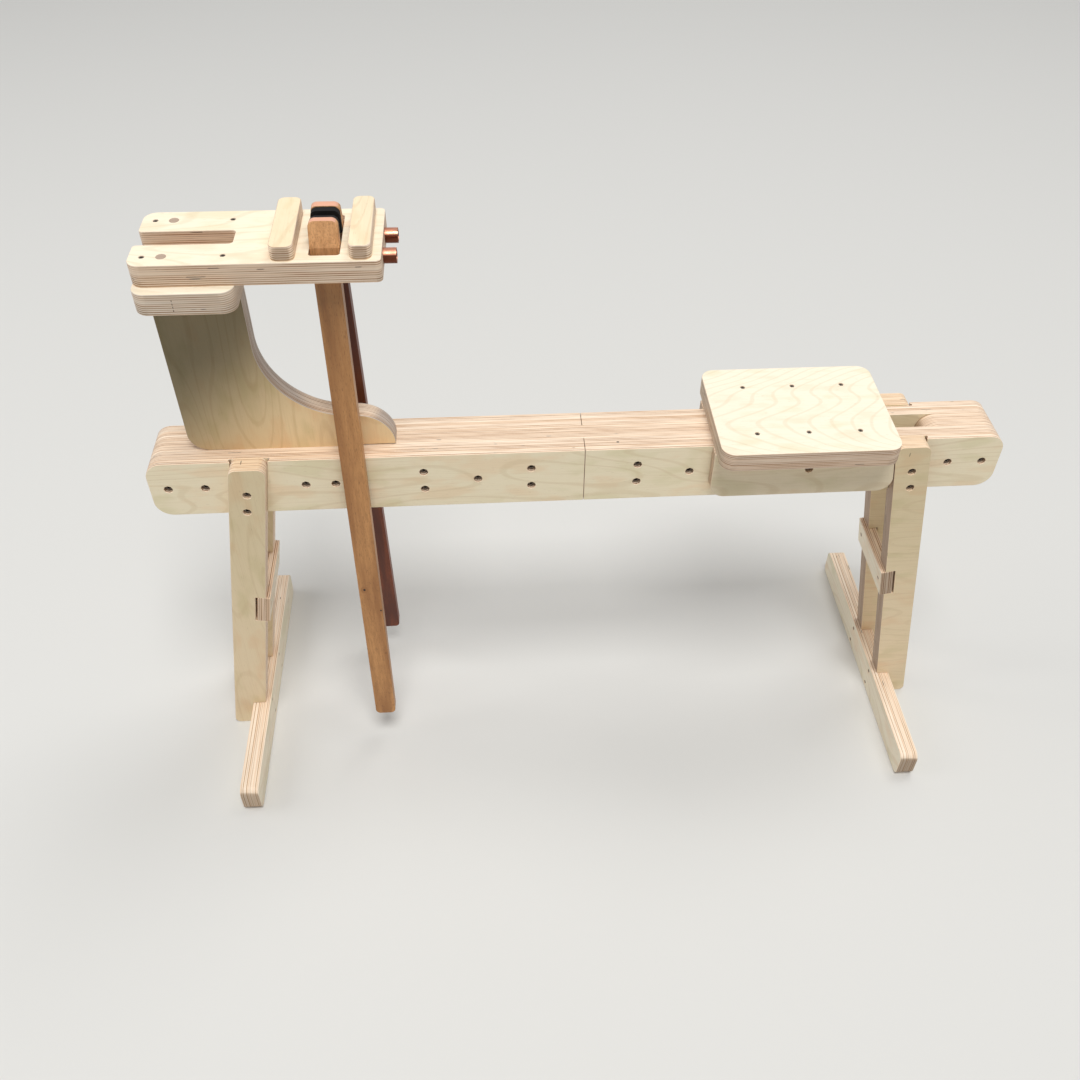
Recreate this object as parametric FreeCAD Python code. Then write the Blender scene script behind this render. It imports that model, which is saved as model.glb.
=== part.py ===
import FreeCAD, Part
import math
import os

# Shaving horse: a low bench that clamps a stick of wood between two knee levers while it is shaved.
# It is cut from birch plywood board. The beam is three boards thick, the post and its head stand at
# the front end, the seat slides on the rear half, and four splayed legs stand on two cross feet.
#
# The origin is on the floor under the middle of the beam. X runs along the beam, from the head (-X,
# "front") to the seat (+X, "rear"). Y runs across it ("near" is -Y, "far" is +Y), and Z is up.
# All sizes are in millimetres.

# Stock
board = 29.0                    # thickness of the main plywood board
stop_board = 19.0               # thinner plywood of the two work stops
cheek_board = 19.0              # thinner plywood of the seat cheeks
joint_clearance = 0.2           # between a piece and the housing, notch or mortise that holds it
running_clearance = 0.3         # between a moving piece and what it slides along or leans on

# Beam: two outer layers, each in two halves, either side of a core of three blocks
beam_length = 1231.0
beam_height = 94.6
beam_top = 567.9                # height of the beam's top above the floor
beam_corner_r = 25.0
seam_gap = 0.6                  # between the front and rear halves of an outer layer
core_end_length = 115.0         # the core block at each end of the beam
mortise_length = 175.0          # the opening in the core behind each end block

# Post
post_inset = 62.5               # from the beam's front end to the post
post_width = 113.5              # of its upright part
post_corner_r = 28.0
post_neck_r = 118.0             # the hollow curve from the upright to the toe
post_toe_length = 285.7         # from the post's front edge to the tip of the toe
post_toe_r = 50.0
post_toe_height = 52.7          # above the beam's top
toe_gap = 1.2                   # the toe's underside clears the beam's top
head_tenon_front_shoulder = 19.0
head_tenon_rear_shoulder = 10.0

# Head: a rest plate on the post, and the head plate with its fork and jaw slot on top of it
head_top = 889.7
rest_setback = 0.5              # behind the post's front edge
rest_length = 121.0
rest_width = 161.0
rest_corner_r = 18.0
head_length = 297.5
head_width = 129.6
head_front_corner_r = 16.0
head_rear_corner_r = 7.0
fork_width = 32.0
fork_depth = 118.0
fork_corner_r = 5.0
jaw_slot_inset = 210.8          # from the head's front edge
jaw_slot_length = 37.0
jaw_slot_width = 98.0
jaw_slot_corner_r = 4.0
stop_length = 123.0
stop_corner_r = 6.0
front_stop_inset = 167.3        # from the head's front edge
front_stop_width = 28.5
rear_stop_inset = 260.0
rear_stop_width = 26.5

# Pivot tubes and levers
tube_diameter = 19.05
tube_wall = 1.6
tube_spacing = 49.0
tube_stand_out = 16.2           # past the rear end of the head plate
tube_grip = 40.0                # in the wall in front of the jaw slot
tube_fit = 0.05                 # around it in the head plate
pivot_drop = 16.4               # from the head's top to the pivots
pivot_running_clearance = 0.08
lever_thickness = 25.0
lever_slot_clearance = 0.75     # beside the jaw, in the slot
lever_shoulder_drop = 18.0      # from the pivot to where the lever narrows
lever_bar_width = 32.2          # below the shoulder: its front edge is in line with the jaw's
lever_bar_inner = 6.5           # from the pivot to the bar's inner face
lever_drop = 817.0              # from the pivot to the lever's lower end
lever_foot_r = 8.0
jaw_rise = 47.8                 # from the pivot to the jaw's top
jaw_corner_r = 8.0
jaw_top_thickness = 10.2
jaw_bevel_start = 17.0          # from the pivot to where the outer face starts to lean in
pad_thickness = 8.5
pad_rebate = 5.8                # how deep the pad is let into the jaw
pad_start = 15.0                # from the pivot to the pad's lower edge
pad_top_drop = 1.5              # below the jaw's top

# Seat
seat_setback = 285.8            # from the rear legs' middle, at the beam's top, to its front edge
seat_length = 256.0
seat_width = 198.6
seat_corner_r = 20.0
cheek_overhang = 2.0            # in front of the seat board
cheek_height = 80.0
cheek_side_clearance = 1.0
cheek_leg_gap = 1.0             # between the cheeks' rear edge and the rear legs
cheek_corner_r = 22.0

# Legs, feet and stretchers
leg_width = 50.8
leg_splay = math.radians(9.5)
leg_inset = 145.2               # from the beam's end to the leg's middle at the beam's top
leg_housing_depth = 8.0
leg_stand_up = 1.9              # above the beam's top
leg_top_r = 8.0
leg_foot_r = 5.0
housing_relief_r = 2.4
foot_setback = 42.4             # from the leg's middle, at the floor, to the foot's inner face
foot_length = 481.0
foot_height = 50.5
foot_lower_r = 8.0
foot_upper_r = 6.0
stretcher_depth = 52.0
stretcher_thickness = 20.0
stretcher_middle_height = 288.5
stretcher_proud = 7.1           # inside the legs' inner edges
stretcher_notch_gap = 2.5       # behind the stretcher, at the bottom of its notch

# Fasteners
recess_diameter = 12.5
recess_depth = 11.0
bolt_diameter = 6.0
bolt_head_diameter = 10.5
bolt_head_height = 6.0
bolt_clearance = 0.25
bolt_stand_out = 1.0            # past its nut
nut_width = 10.0                # across its flats
nut_height = 5.0
insert_diameter = 9.0
insert_length = 13.0
screw_head_diameter = 7.0
screw_head_height = 3.0
screw_diameter = 4.0
screw_recess = 0.8              # the head lies this deep
screw_clearance = 0.1
plug_diameter = 12.0
plug_thickness = 8.0
bolt_pitch = 76.7               # along the beam
bolt_pair_spacing = 32.0        # the two bolts of a pair, one above the other
end_bolt_insets = (77.1, 25.6)  # from the beam's ends
post_bolt_insets = (217.9, 259.9)
leg_bolt_drops = (44.2, 75.9)   # below the beam's top
seat_screw_inset = 56.2         # from the seat's front edge to the first pair
seat_screw_pitch = 73.95
seat_screw_length = 60.0
lock_bolt_setback = 139.2       # from the seat's front edge
lock_bolt_drop = 33.0           # below the beam's top
foot_screw_heights = (7.5, 38.5)
foot_screw_length = 55.0
stretcher_screw_length = 45.0
head_screw_spacing = 87.2
head_screw_insets = (16.0, 110.5)
head_screw_length = 50.0
plug_inset = 38.5
plug_screw_length = 38.0

recess_sides = 8                # flat sides of a bolt head and its recess
hex_sides = 6                   # of nuts, screws and what lies hidden in the wood
plug_sides = 12
bore_sides = 16                 # of the pivot tubes' bores in the head plate

# Worked out from the sizes above
beam_bottom = beam_top - beam_height
beam_end = beam_length / 2
leg_top_reach = beam_end - leg_inset
post_front = beam_end - post_inset
head_front = post_front
rest_front = post_front - rest_setback
jaw_slot_front = head_front - jaw_slot_inset
front_stop_front = head_front - front_stop_inset
rear_stop_front = head_front - rear_stop_inset
head_screw_reaches = [head_front - inset for inset in head_screw_insets]
plug_reach = head_front - plug_inset
seat_front = leg_top_reach - seat_setback
cheek_front = seat_front - cheek_overhang
foot_inner_reach = leg_top_reach + beam_top * math.tan(leg_splay) - foot_setback
beam_half_width = 1.5 * board
core_half = board / 2
bolt_height = beam_top - beam_height / 2 + 1.3
mortise_outer = beam_end - core_end_length
mortise_inner = mortise_outer - mortise_length
head_underside = head_top - board
rest_underside = head_underside - board
pivot_height = head_top - pivot_drop
pivot_reach = tube_spacing / 2
jaw_middle = -jaw_slot_front + jaw_slot_length / 2
jaw_width = jaw_slot_length - 2 * lever_slot_clearance
leg_outer = beam_half_width - leg_housing_depth + board
leg_inner = leg_outer - board
leg_middle = leg_outer - board / 2
leg_half_run = leg_width / 2 / math.cos(leg_splay)
foot_outer_reach = foot_inner_reach + board
seat_underside = beam_top + running_clearance
cheek_inner = beam_half_width + cheek_side_clearance
cheek_middle = cheek_inner + cheek_board / 2

X_AXIS = FreeCAD.Vector(1, 0, 0)
Y_AXIS = FreeCAD.Vector(0, 1, 0)
Z_AXIS = FreeCAD.Vector(0, 0, 1)


def vec(x, y, z):
    return FreeCAD.Vector(x, y, z)


def outline(corners):
    """Edges, in the XY plane, of a closed outline. A corner is (a, b) or (a, b, radius of its arc)."""
    points = [vec(corner[0], corner[1], 0) for corner in corners]
    radii = [corner[2] if len(corner) > 2 else 0.0 for corner in corners]
    stretches = []
    for index, point in enumerate(points):
        before = points[index - 1] - point
        after = points[(index + 1) % len(points)] - point
        before.normalize()
        after.normalize()
        radius = radii[index]
        if radius <= 0:
            stretches.append((point, None, point))
            continue
        half_angle = before.getAngle(after) / 2
        reach = radius / math.tan(half_angle)
        inward = before + after
        inward.normalize()
        middle = point + inward * (radius / math.sin(half_angle) - radius)
        stretches.append((point + before * reach, middle, point + after * reach))
    edges = []
    for index, (start, middle, end) in enumerate(stretches):
        if middle is not None:
            edges.append(Part.Arc(start, middle, end).toShape())
        following = stretches[(index + 1) % len(stretches)][0]
        if end.distanceToPoint(following) > 1e-6:
            edges.append(Part.LineSegment(end, following).toShape())
    return edges


def slab(corners, across, low, high):
    """Board of an outline, between two planes across X, Y or Z.

    The outline's two directions are Y and Z across X, X and Z across Y, and X and Y across Z.
    """
    face = Part.Face(Part.Wire(outline(corners)))
    turns = {
        "x": FreeCAD.Rotation(vec(1, 1, 1), 120),
        "y": FreeCAD.Rotation(X_AXIS, 90),
        "z": FreeCAD.Rotation(),
    }
    directions = {"x": X_AXIS, "y": Y_AXIS, "z": Z_AXIS}
    direction = directions[across]
    face.Placement = FreeCAD.Placement(direction * low, turns[across])
    return face.extrude(direction * (high - low))


def rectangle(left, right, bottom, top, radius=0.0):
    return [(left, bottom, radius), (right, bottom, radius), (right, top, radius), (left, top, radius)]


def rod(radius, start, end):
    """Cylinder from one point to another."""
    along = end - start
    return Part.makeCylinder(radius, along.Length, start, along)


def ring(radius, distance, sides):
    """Corners of a regular outline about Z. Two of them always lie on the X axis."""
    steps = [2 * math.pi * step / sides for step in range(sides)]
    return [vec(radius * math.cos(angle), radius * math.sin(angle), distance) for angle in steps]


def polygon_face(corners):
    return Part.Face(Part.makePolygon(corners + corners[:1]))


def faceted(profile, point, direction, sides):
    """Solid of a half section (radius, distance) about the line from a point, with flat sides."""
    faces = []
    for index, (radius, distance) in enumerate(profile):
        next_radius, next_distance = profile[(index + 1) % len(profile)]
        if radius <= 0 and next_radius <= 0:
            continue
        if min(radius, next_radius) <= 0:
            faces.append(polygon_face(ring(max(radius, next_radius), distance, sides)))
            continue
        here = ring(radius, distance, sides)
        there = ring(next_radius, next_distance, sides)
        for step in range(sides):
            after = (step + 1) % sides
            faces.append(polygon_face([here[step], here[after], there[after], there[step]]))
    shell = Part.makeShell(faces)
    shell.sewShape()
    solid = Part.makeSolid(shell)
    if solid.Volume < 0:
        solid.reverse()
    solid.Placement = FreeCAD.Placement(point, FreeCAD.Rotation(Z_AXIS, direction))
    return solid


def prism(radius, start, end, sides):
    """Regular prism from one point to another."""
    along = end - start
    length = along.Length
    return faceted([(0, 0), (radius, 0), (radius, length), (0, length)], start, along, sides)


def mirrored(shape, end, side):
    """A shape made for the rear (end 1) and far (side 1), put at any end and side."""
    if end < 0:
        shape = shape.mirror(vec(0, 0, 0), X_AXIS)
    if side < 0:
        shape = shape.mirror(vec(0, 0, 0), Y_AXIS)
    return shape


def drilled(shape, tools):
    """A shape with every tool that reaches it cut away."""
    reaching = [tool for tool in tools if tool.BoundBox.intersect(shape.BoundBox)]
    return shape.cut(reaching) if reaching else shape


# Fasteners. Each is made from its head's surface point, pointing into the wood, and the wood is cut
# with the same shape grown by a clearance. They and their holes have flat sides, which keeps them
# light: more sides where they show, and fewer in the wood. Threads, sockets and points are left off.

def wood_screw(surface, direction, length, grow=0.0):
    """Countersunk screw, or its hole when it is grown: then the hole is open to the surface."""
    head_r = screw_head_diameter / 2 + grow
    shank_r = screw_diameter / 2 + grow
    neck = screw_recess + screw_head_height
    start = [(0, -1), (head_r, -1)] if grow > 0 else [(0, screw_recess)]
    profile = start + [(head_r, screw_recess), (shank_r, neck), (shank_r, length + grow), (0, length + grow)]
    return faceted(profile, surface, direction, hex_sides)


def recessed_bolt(surface, direction, length):
    """Cap bolt at the bottom of its recess."""
    top = surface + direction * (recess_depth - bolt_head_height)
    bottom = surface + direction * recess_depth
    head = prism(bolt_head_diameter / 2, top, bottom, recess_sides)
    shank = prism(bolt_diameter / 2, bottom - direction, surface + direction * length, hex_sides)
    return head.fuse(shank).removeSplitter()


def recess(surface, direction):
    return prism(recess_diameter / 2, surface - direction, surface + direction * recess_depth, recess_sides)


def bolt_hole(surface, direction, length):
    """Recess and shank hole of a bolt."""
    start = surface + direction * (recess_depth - 1)
    shank = prism(bolt_diameter / 2 + bolt_clearance, start, surface + direction * length, hex_sides)
    return recess(surface, direction).fuse(shank).removeSplitter()


def hex_nut(surface, direction):
    """Nut at the bottom of the recess opposite a bolt's head."""
    top = recess_depth - nut_height
    bore_r = bolt_diameter / 2 + joint_clearance / 2
    corner_r = nut_width / math.sqrt(3)
    profile = [(bore_r, top), (corner_r, top), (corner_r, recess_depth), (bore_r, recess_depth)]
    return faceted(profile, surface, direction, hex_sides)


def threaded_insert(start, direction, grow=0.0):
    """Sleeve that a bolt screws into, or its hole when it is grown."""
    outer_r = insert_diameter / 2 + grow
    inner_r = 0.0 if grow > 0 else bolt_diameter / 2 + joint_clearance / 2
    end = insert_length + grow
    profile = [(inner_r, 0), (outer_r, 0), (outer_r, end), (inner_r, end)]
    return faceted(profile, start, direction, hex_sides)


# Beam

def beam_bolt_places():
    """X and Z of every bolt that goes through the beam, as seen from the side."""
    places = [(inset - beam_end, bolt_height) for inset in post_bolt_insets]
    for end in (-1, 1):
        places += [(end * (beam_end - inset), bolt_height) for inset in end_bolt_insets]
        places.append((end * 2 * bolt_pitch, bolt_height))
        for pitches in (1, 3):
            for above in (-0.5, 0.5):
                places.append((end * pitches * bolt_pitch, bolt_height + above * bolt_pair_spacing))
    return places


def beam_bolt_set():
    """Bolts, nuts and holes of the beam: the heads are on the near side."""
    bolts = []
    nuts = []
    holes = []
    to_far_recess = 2 * beam_half_width - recess_depth
    for x, z in beam_bolt_places():
        near = vec(x, -beam_half_width, z)
        far = vec(x, beam_half_width, z)
        bolts.append(recessed_bolt(near, Y_AXIS, to_far_recess + nut_height + bolt_stand_out))
        nuts.append(hex_nut(far, -Y_AXIS))
        holes.append(bolt_hole(near, Y_AXIS, to_far_recess + 1))
        holes.append(recess(far, -Y_AXIS))
    return bolts, nuts, holes


def leg_axis(height):
    """X of a rear leg's middle line at a height."""
    return leg_top_reach + (beam_top - height) * math.tan(leg_splay)


def leg_housing():
    """Slanted housing of a rear far leg in the beam's outer layer, with a relief in each back corner."""
    floor = beam_half_width - leg_housing_depth
    half = leg_half_run + joint_clearance
    low = beam_bottom - 5
    high = beam_top + 5
    corners = [(leg_axis(low) - half, low), (leg_axis(low) + half, low)]
    corners += [(leg_axis(high) + half, high), (leg_axis(high) - half, high)]
    housing = slab(corners, "y", floor, beam_half_width + 5)
    reliefs = []
    for way in (-1, 1):
        start = vec(leg_axis(low) + way * half, floor + housing_relief_r, low)
        end = vec(leg_axis(high) + way * half, floor + housing_relief_r, high)
        reliefs.append(prism(housing_relief_r, start, end, hex_sides))
    return housing.fuse(reliefs)


def beam_sides(holes):
    """The four outer boards of the beam."""
    corners = [(seam_gap / 2, beam_bottom), (beam_end, beam_bottom, beam_corner_r)]
    corners += [(beam_end, beam_top, beam_corner_r), (seam_gap / 2, beam_top)]
    blank = slab(corners, "y", core_half, beam_half_width).cut(leg_housing())
    sides = {}
    for end, end_name in ((-1, "front"), (1, "rear")):
        for side, side_name in ((-1, "near"), (1, "far")):
            sides["beam_side_%s_%s" % (end_name, side_name)] = drilled(mirrored(blank, end, side), holes)
    return sides


def beam_core(holes):
    """The three blocks between the outer boards, with a mortise between each two.

    They are rounded at the beam's ends, and at the rear end of the mortise that stays open.
    """
    spans = {
        "beam_core_front": (-beam_end, beam_corner_r, -mortise_outer, 0),
        "beam_core_middle": (-mortise_inner, 0, mortise_inner, 0),
        "beam_core_rear": (mortise_outer, beam_corner_r, beam_end, beam_corner_r),
    }
    blocks = {}
    for name, (left, left_r, right, right_r) in spans.items():
        corners = [(left, beam_bottom, left_r), (right, beam_bottom, right_r)]
        corners += [(right, beam_top, right_r), (left, beam_top, left_r)]
        blocks[name] = drilled(slab(corners, "y", -core_half, core_half), holes)
    return blocks


# Post and head

def post(holes):
    """Upright board: its long tenon fills the front mortise, and a short one holds the rest plate."""
    neck = -post_front + post_width
    toe_tip = -post_front + post_toe_length
    toe_top = beam_top + post_toe_height
    tenon_front = -mortise_outer + joint_clearance
    tenon_rear = -mortise_inner - joint_clearance
    head_tenon_front = -post_front + head_tenon_front_shoulder
    head_tenon_rear = neck - head_tenon_rear_shoulder
    corners = [
        (-post_front, rest_underside),
        (-post_front, beam_top, post_corner_r),
        (tenon_front, beam_top),
        (tenon_front, beam_bottom),
        (tenon_rear, beam_bottom),
        (tenon_rear, beam_top + toe_gap),
        (toe_tip, beam_top + toe_gap),
        (toe_tip, toe_top, post_toe_r),
        (neck, toe_top, post_neck_r),
        (neck, rest_underside),
        (head_tenon_rear, rest_underside),
        (head_tenon_rear, head_underside),
        (head_tenon_front, head_underside),
        (head_tenon_front, rest_underside),
    ]
    return drilled(slab(corners, "y", -core_half, core_half), holes)


def head_screw_places(reaches):
    return [(-reach, side * head_screw_spacing / 2) for reach in reaches for side in (-1, 1)]


def head_fasteners():
    """Screws from the head plate into the rest plate, plugs over the deep ones, and their holes."""
    down = -Z_AXIS
    screws = []
    deep_screws = []
    plugs = []
    holes = []
    for x, y in head_screw_places(head_screw_reaches):
        top = vec(x, y, head_top)
        screws.append(wood_screw(top, down, head_screw_length))
        holes.append(wood_screw(top, down, head_screw_length, screw_clearance))
    for x, y in head_screw_places((plug_reach,)):
        top = vec(x, y, head_top)
        plug_bottom = top + down * plug_thickness
        deep_screws.append(wood_screw(plug_bottom, down, plug_screw_length))
        holes.append(wood_screw(plug_bottom, down, plug_screw_length, screw_clearance))
        plugs.append(prism(plug_diameter / 2, plug_bottom, top, plug_sides))
        holes.append(prism(plug_diameter / 2, plug_bottom, top + Z_AXIS, plug_sides))
    return screws, deep_screws, plugs, holes


def head_rest_plate(holes):
    """Wide plate on the post's shoulders, with a through mortise for the post's upper tenon."""
    half = rest_width / 2
    corners = rectangle(-rest_front, -rest_front + rest_length, -half, half, rest_corner_r)
    plate = slab(corners, "z", rest_underside, head_underside)
    left = -post_front + head_tenon_front_shoulder - joint_clearance
    right = -post_front + post_width - head_tenon_rear_shoulder + joint_clearance
    mortise = slab(rectangle(left, right, -core_half, core_half), "z", rest_underside - 1, head_underside + 1)
    return drilled(plate.cut(mortise), holes)


def tube_ends():
    """X of the two ends of a pivot tube."""
    return -jaw_slot_front - tube_grip, -head_front + head_length + tube_stand_out


def head_plate(holes):
    """Head plate: a fork at the front, a slot for the jaws, and a bore for each pivot tube."""
    half = head_width / 2
    rear = -head_front + head_length
    fork = fork_width / 2
    fork_end = -head_front + fork_depth
    corners = [
        (-head_front, -half, head_front_corner_r),
        (rear, -half, head_rear_corner_r),
        (rear, half, head_rear_corner_r),
        (-head_front, half, head_front_corner_r),
        (-head_front, fork, fork_corner_r),
        (fork_end, fork, fork_corner_r),
        (fork_end, -fork, fork_corner_r),
        (-head_front, -fork, fork_corner_r),
    ]
    plate = slab(corners, "z", head_underside, head_top)
    slot_half = jaw_slot_width / 2
    slot_rear = -jaw_slot_front + jaw_slot_length
    slot_corners = rectangle(-jaw_slot_front, slot_rear, -slot_half, slot_half, jaw_slot_corner_r)
    tools = [slab(slot_corners, "z", head_underside - 1, head_top + 1)]
    front, back = tube_ends()
    bore_r = (tube_diameter / 2 + tube_fit) / math.cos(math.pi / bore_sides)
    for side in (-1, 1):
        y = side * pivot_reach
        tools.append(prism(bore_r, vec(front, y, pivot_height), vec(back, y, pivot_height), bore_sides))
    return drilled(plate.cut(tools), holes)


def work_stop(front, width):
    """Raised block across the head."""
    half = stop_length / 2
    corners = rectangle(-front, -front + width, -half, half, stop_corner_r)
    return slab(corners, "z", head_top, head_top + stop_board)


def pivot_tube(side):
    """Copper tube that a lever swings on."""
    front, back = tube_ends()
    start = vec(front, side * pivot_reach, pivot_height)
    end = vec(back, side * pivot_reach, pivot_height)
    return rod(tube_diameter / 2, start, end).cut(rod(tube_diameter / 2 - tube_wall, start, end))


# Levers. Each is drawn upright about its pivot, with its outer face to +Y, then leaned out until its
# inner face rests against the beam's top edge.

def lever_rest_angle():
    """Lean, in radians, at which the bar's inner face clears the beam's top edge."""
    across = beam_half_width + running_clearance - pivot_reach
    down = pivot_height - beam_top
    distance = math.hypot(across, down)
    return math.asin(lever_bar_inner / distance) + math.atan2(across, down)


def leaned(shape, side):
    """An upright far lever piece at the origin, put on its pivot at its rest angle."""
    shape = shape.copy()
    shape.rotate(vec(0, 0, 0), X_AXIS, math.degrees(lever_rest_angle()))
    shape.translate(vec(jaw_middle, pivot_reach, pivot_height))
    return mirrored(shape, 1, side)


def lever(side):
    """Hardwood lever: jaw above the pivot, and below it a knee bar, narrower and thinner."""
    jaw_half = jaw_width / 2
    half = lever_thickness / 2
    bar_rear = lever_bar_width - jaw_half
    narrowed = -lever_shoulder_drop - (jaw_half - bar_rear)
    thinned = -lever_shoulder_drop - (half - lever_bar_inner)
    front_view = [
        (-jaw_half, jaw_rise, jaw_corner_r),
        (-jaw_half, -lever_drop, lever_foot_r),
        (bar_rear, -lever_drop, lever_foot_r),
        (bar_rear, narrowed),
        (jaw_half, -lever_shoulder_drop),
        (jaw_half, jaw_rise, jaw_corner_r),
    ]
    blank = slab(front_view, "y", -half, half)
    pad_seat = -half + pad_rebate
    side_view = [
        (-lever_bar_inner, -lever_drop),
        (half, -lever_drop),
        (half, jaw_bevel_start),
        (pad_seat + jaw_top_thickness, jaw_rise),
        (pad_seat, jaw_rise),
        (pad_seat, pad_start),
        (-half, pad_start),
        (-half, -lever_shoulder_drop),
        (-lever_bar_inner, thinned),
    ]
    shape = blank.common(slab(side_view, "x", -jaw_half, jaw_half))
    bore = rod(tube_diameter / 2 + pivot_running_clearance, vec(-jaw_half - 1, 0, 0), vec(jaw_half + 1, 0, 0))
    return leaned(shape.cut(bore), side)


def jaw_pad(side):
    """Rubber pad let into the jaw's inner face."""
    half_width = jaw_width / 2
    seat = -lever_thickness / 2 + pad_rebate
    top = jaw_rise - pad_top_drop
    corners = [(-half_width, pad_start), (half_width, pad_start)]
    corners += [(half_width, top, jaw_corner_r), (-half_width, top, jaw_corner_r)]
    return leaned(slab(corners, "y", seat - pad_thickness, seat), side)


# Seat

def seat_screw_places():
    first = seat_front + seat_screw_inset
    return [(first + step * seat_screw_pitch, side * cheek_middle) for step in range(3) for side in (-1, 1)]


def seat_fasteners():
    """Six screws down into the cheeks, and the lock bolt with its insert in the near cheek."""
    screws = []
    holes = []
    for x, y in seat_screw_places():
        top = vec(x, y, seat_underside + board)
        screws.append(wood_screw(top, -Z_AXIS, seat_screw_length))
        holes.append(wood_screw(top, -Z_AXIS, seat_screw_length, screw_clearance))
    outer = vec(seat_front + lock_bolt_setback, -cheek_inner - cheek_board, beam_top - lock_bolt_drop)
    bolt_tip = cheek_board + cheek_side_clearance - running_clearance
    bolt = recessed_bolt(outer, Y_AXIS, bolt_tip)
    holes.append(bolt_hole(outer, Y_AXIS, cheek_board + 1))
    return screws, bolt, holes


def seat_board(holes):
    half = seat_width / 2
    corners = rectangle(seat_front, seat_front + seat_length, -half, half, seat_corner_r)
    return drilled(slab(corners, "z", seat_underside, seat_underside + board), holes)


def seat_cheek(side, holes):
    """Board that hangs beside the beam: its rear edge is cut to the slant of the leg behind it."""
    bottom = seat_underside - cheek_height
    rear_bottom = leg_axis(bottom) - leg_half_run - cheek_leg_gap
    rear_top = leg_axis(seat_underside) - leg_half_run - cheek_leg_gap
    corners = [
        (cheek_front, bottom, cheek_corner_r),
        (rear_bottom, bottom, cheek_corner_r),
        (rear_top, seat_underside),
        (cheek_front, seat_underside),
    ]
    low, high = sorted((side * cheek_inner, side * (cheek_inner + cheek_board)))
    return drilled(slab(corners, "y", low, high), holes)


# Legs, feet and stretchers, made for the rear far corner

def leg_outline():
    """Side view of a rear leg, notched at its inner lower corner for the foot."""
    top = beam_top + leg_stand_up
    notch_top = foot_height + joint_clearance
    return [
        (foot_outer_reach, 0),
        (leg_axis(0) + leg_half_run, 0, leg_foot_r),
        (leg_axis(top) + leg_half_run, top, leg_top_r),
        (leg_axis(top) - leg_half_run, top, leg_top_r),
        (leg_axis(notch_top) - leg_half_run, notch_top),
        (foot_outer_reach, notch_top),
    ]


def stretcher_outline(along_gap=0.0, back_gap=0.0):
    """Side view of the rear stretcher, or of its notch when the gaps are given."""
    down = vec(math.sin(leg_splay), 0, -math.cos(leg_splay))
    inward = vec(-math.cos(leg_splay), 0, -math.sin(leg_splay))
    middle = vec(leg_axis(stretcher_middle_height), 0, stretcher_middle_height)
    face = leg_width / 2 + stretcher_proud
    back = face - stretcher_thickness - back_gap
    reach = stretcher_depth / 2 + along_gap
    corners = []
    for depth, along in ((face, -reach), (face, reach), (back, reach), (back, -reach)):
        corner = middle + inward * depth + down * along
        corners.append((corner.x, corner.z))
    return corners


def leg_fasteners():
    """Bolts, inserts, screws and holes of the rear far leg."""
    inward = -Y_AXIS
    bolts = []
    inserts = []
    holes = []
    for drop in leg_bolt_drops:
        height = beam_top - drop
        surface = vec(leg_axis(height), leg_outer, height)
        tip = leg_outer - core_half - joint_clearance
        insert_start = surface + inward * (tip - insert_length)
        bolts.append(recessed_bolt(surface, inward, tip - 1))
        inserts.append(threaded_insert(insert_start, inward))
        holes.append(bolt_hole(surface, inward, tip))
        holes.append(threaded_insert(insert_start, inward, joint_clearance / 2))
    return bolts, inserts, holes


def foot_screws(grow=0.0):
    """Two screws through the rear foot into the far leg."""
    screws = []
    for height in foot_screw_heights:
        surface = vec(foot_inner_reach, leg_middle, height)
        screws.append(wood_screw(surface, X_AXIS, foot_screw_length, grow))
    return screws


def stretcher_screw(grow=0.0):
    """Screw through the rear stretcher into the far leg."""
    outward = vec(math.cos(leg_splay), 0, math.sin(leg_splay))
    middle = vec(leg_axis(stretcher_middle_height), leg_middle, stretcher_middle_height)
    surface = middle - outward * (leg_width / 2 + stretcher_proud)
    return wood_screw(surface, outward, stretcher_screw_length, grow)


def leg(bolt_holes):
    blank = slab(leg_outline(), "y", leg_inner, leg_outer)
    notch = slab(stretcher_outline(joint_clearance, stretcher_notch_gap), "y", leg_inner - 1, leg_outer + 1)
    tools = [notch, stretcher_screw(screw_clearance)] + foot_screws(screw_clearance) + bolt_holes
    return blank.cut(tools)


def both_sides(shapes):
    return shapes + [mirrored(shape, 1, -1) for shape in shapes]


def foot():
    """Upright board across the bottom of the two rear legs."""
    half = foot_length / 2
    corners = [(-half, 0, foot_lower_r), (half, 0, foot_lower_r)]
    corners += [(half, foot_height, foot_upper_r), (-half, foot_height, foot_upper_r)]
    blank = slab(corners, "x", foot_inner_reach, foot_outer_reach)
    return blank.cut(both_sides(foot_screws(screw_clearance)))


def stretcher():
    """Board across the two rear legs, flush with their outer faces."""
    blank = slab(stretcher_outline(), "y", -leg_outer, leg_outer)
    return blank.cut(both_sides([stretcher_screw(screw_clearance)]))


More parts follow.
